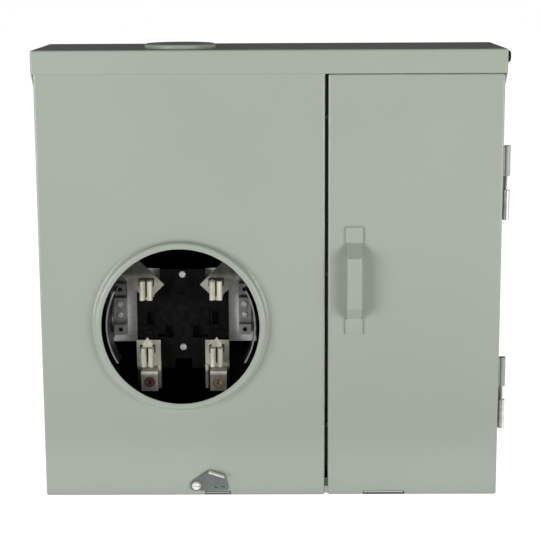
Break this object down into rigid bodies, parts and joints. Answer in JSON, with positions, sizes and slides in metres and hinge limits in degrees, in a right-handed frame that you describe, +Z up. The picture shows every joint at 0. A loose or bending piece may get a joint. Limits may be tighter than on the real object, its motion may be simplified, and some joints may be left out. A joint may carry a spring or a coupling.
{
  "type": "electric meter box",
  "caption": "Painted steel wall box with a round collared meter opening over a blade socket and a hinged breaker door with a strap handle.",
  "frame": {"origin": "middle of the back face, which lies on the wall", "axes": "+X to the right, -Y to the front, +Z up; +Y points into the wall"},
  "size_m": [0.4901, 0.1516, 0.4764],
  "materials": {
    "paint": "satin grey enamel",
    "cap_paint": "satin grey enamel",
    "zinc": "bright zinc plating",
    "galvanised": "dull galvanised sheet",
    "tin": "tin plated",
    "lug": "sawn and plated",
    "phenolic": "moulded black",
    "black_sheet": "matt black",
    "spring_steel": "blued spring steel",
    "grommet_rubber": "matt"
  },
  "bodies": {
    "enclosure": {"bottom_end_wall": "paint", "box_hinge_lower": "zinc", "box_hinge_upper": "zinc", "bracket_screws": "zinc", "branch_base": "phenolic", "branch_bus_left": "tin", "branch_bus_right": "tin", "cable_grommet": "grommet_rubber", "compartment_divider": "paint", "cover_latch_screw": "zinc", "dead_front": "paint", "dead_front_rail": "paint", "dead_front_screws": "zinc", "divider_rivets": "zinc", "enclosure_shell": "paint", "ground_bar": "lug", "hinge_pin_lower": "zinc", "hinge_pin_upper": "zinc", "hub_clamp_bar": "zinc", "hub_clamp_nuts": "zinc", "hub_closing_plate": "cap_paint", "insulating_liner": "black_sheet", "interior_pan": "galvanised", "jaw_clips": "spring_steel", "line_connector_left": "lug", "line_connector_right": "lug", "line_jaw_left": "tin", "line_jaw_right": "tin", "load_connector_left": "lug", "load_connector_right": "lug", "load_jaw_left": "tin", "load_jaw_right": "tin", "lug_screws": "zinc", "main_breaker_case": "phenolic", "main_breaker_lugs": "lug", "meter_cover": "paint", "meter_support_left": "galvanised", "meter_support_right": "galvanised", "neutral_bar_left": "lug", "neutral_bar_right": "lug", "neutral_bar_screws": "zinc", "neutral_bar_supports": "phenolic", "panel_neutral_bar": "lug", "side_hole_plug": "black_sheet", "socket_base": "phenolic", "socket_base_screws": "zinc", "socket_bracket": "galvanised", "terminal_bar_screws": "zinc", "top_end_cap": "cap_paint"},
    "door": {"door_panel": "paint", "door_handle": "paint", "door_hinge_lower": "paint", "door_hinge_upper": "paint"},
    "cover_latch": {"cover_latch_lever": "zinc"},
    "breaker_handle": {"main_breaker_handle": "phenolic"}
  },
  "joints": [
    {"name": "door_hinge", "type": "hinge", "parent": "enclosure", "child": "door", "pos_m": [0.24435, -0.1261, 0], "axis": [0, 0, 1], "range_deg": [0, 120]},
    {"name": "cover_latch_pivot", "type": "hinge", "parent": "enclosure", "child": "cover_latch", "pos_m": [-0.0794, -0.1342, -0.22455], "axis": [0, -1, 0], "range_deg": [0, 100]},
    {"name": "main_breaker_switch", "type": "hinge", "parent": "enclosure", "child": "breaker_handle", "pos_m": [0.147, -0.1101, 0.11185], "axis": [-1, 0, 0], "range_deg": [0, 40]}
  ]
}
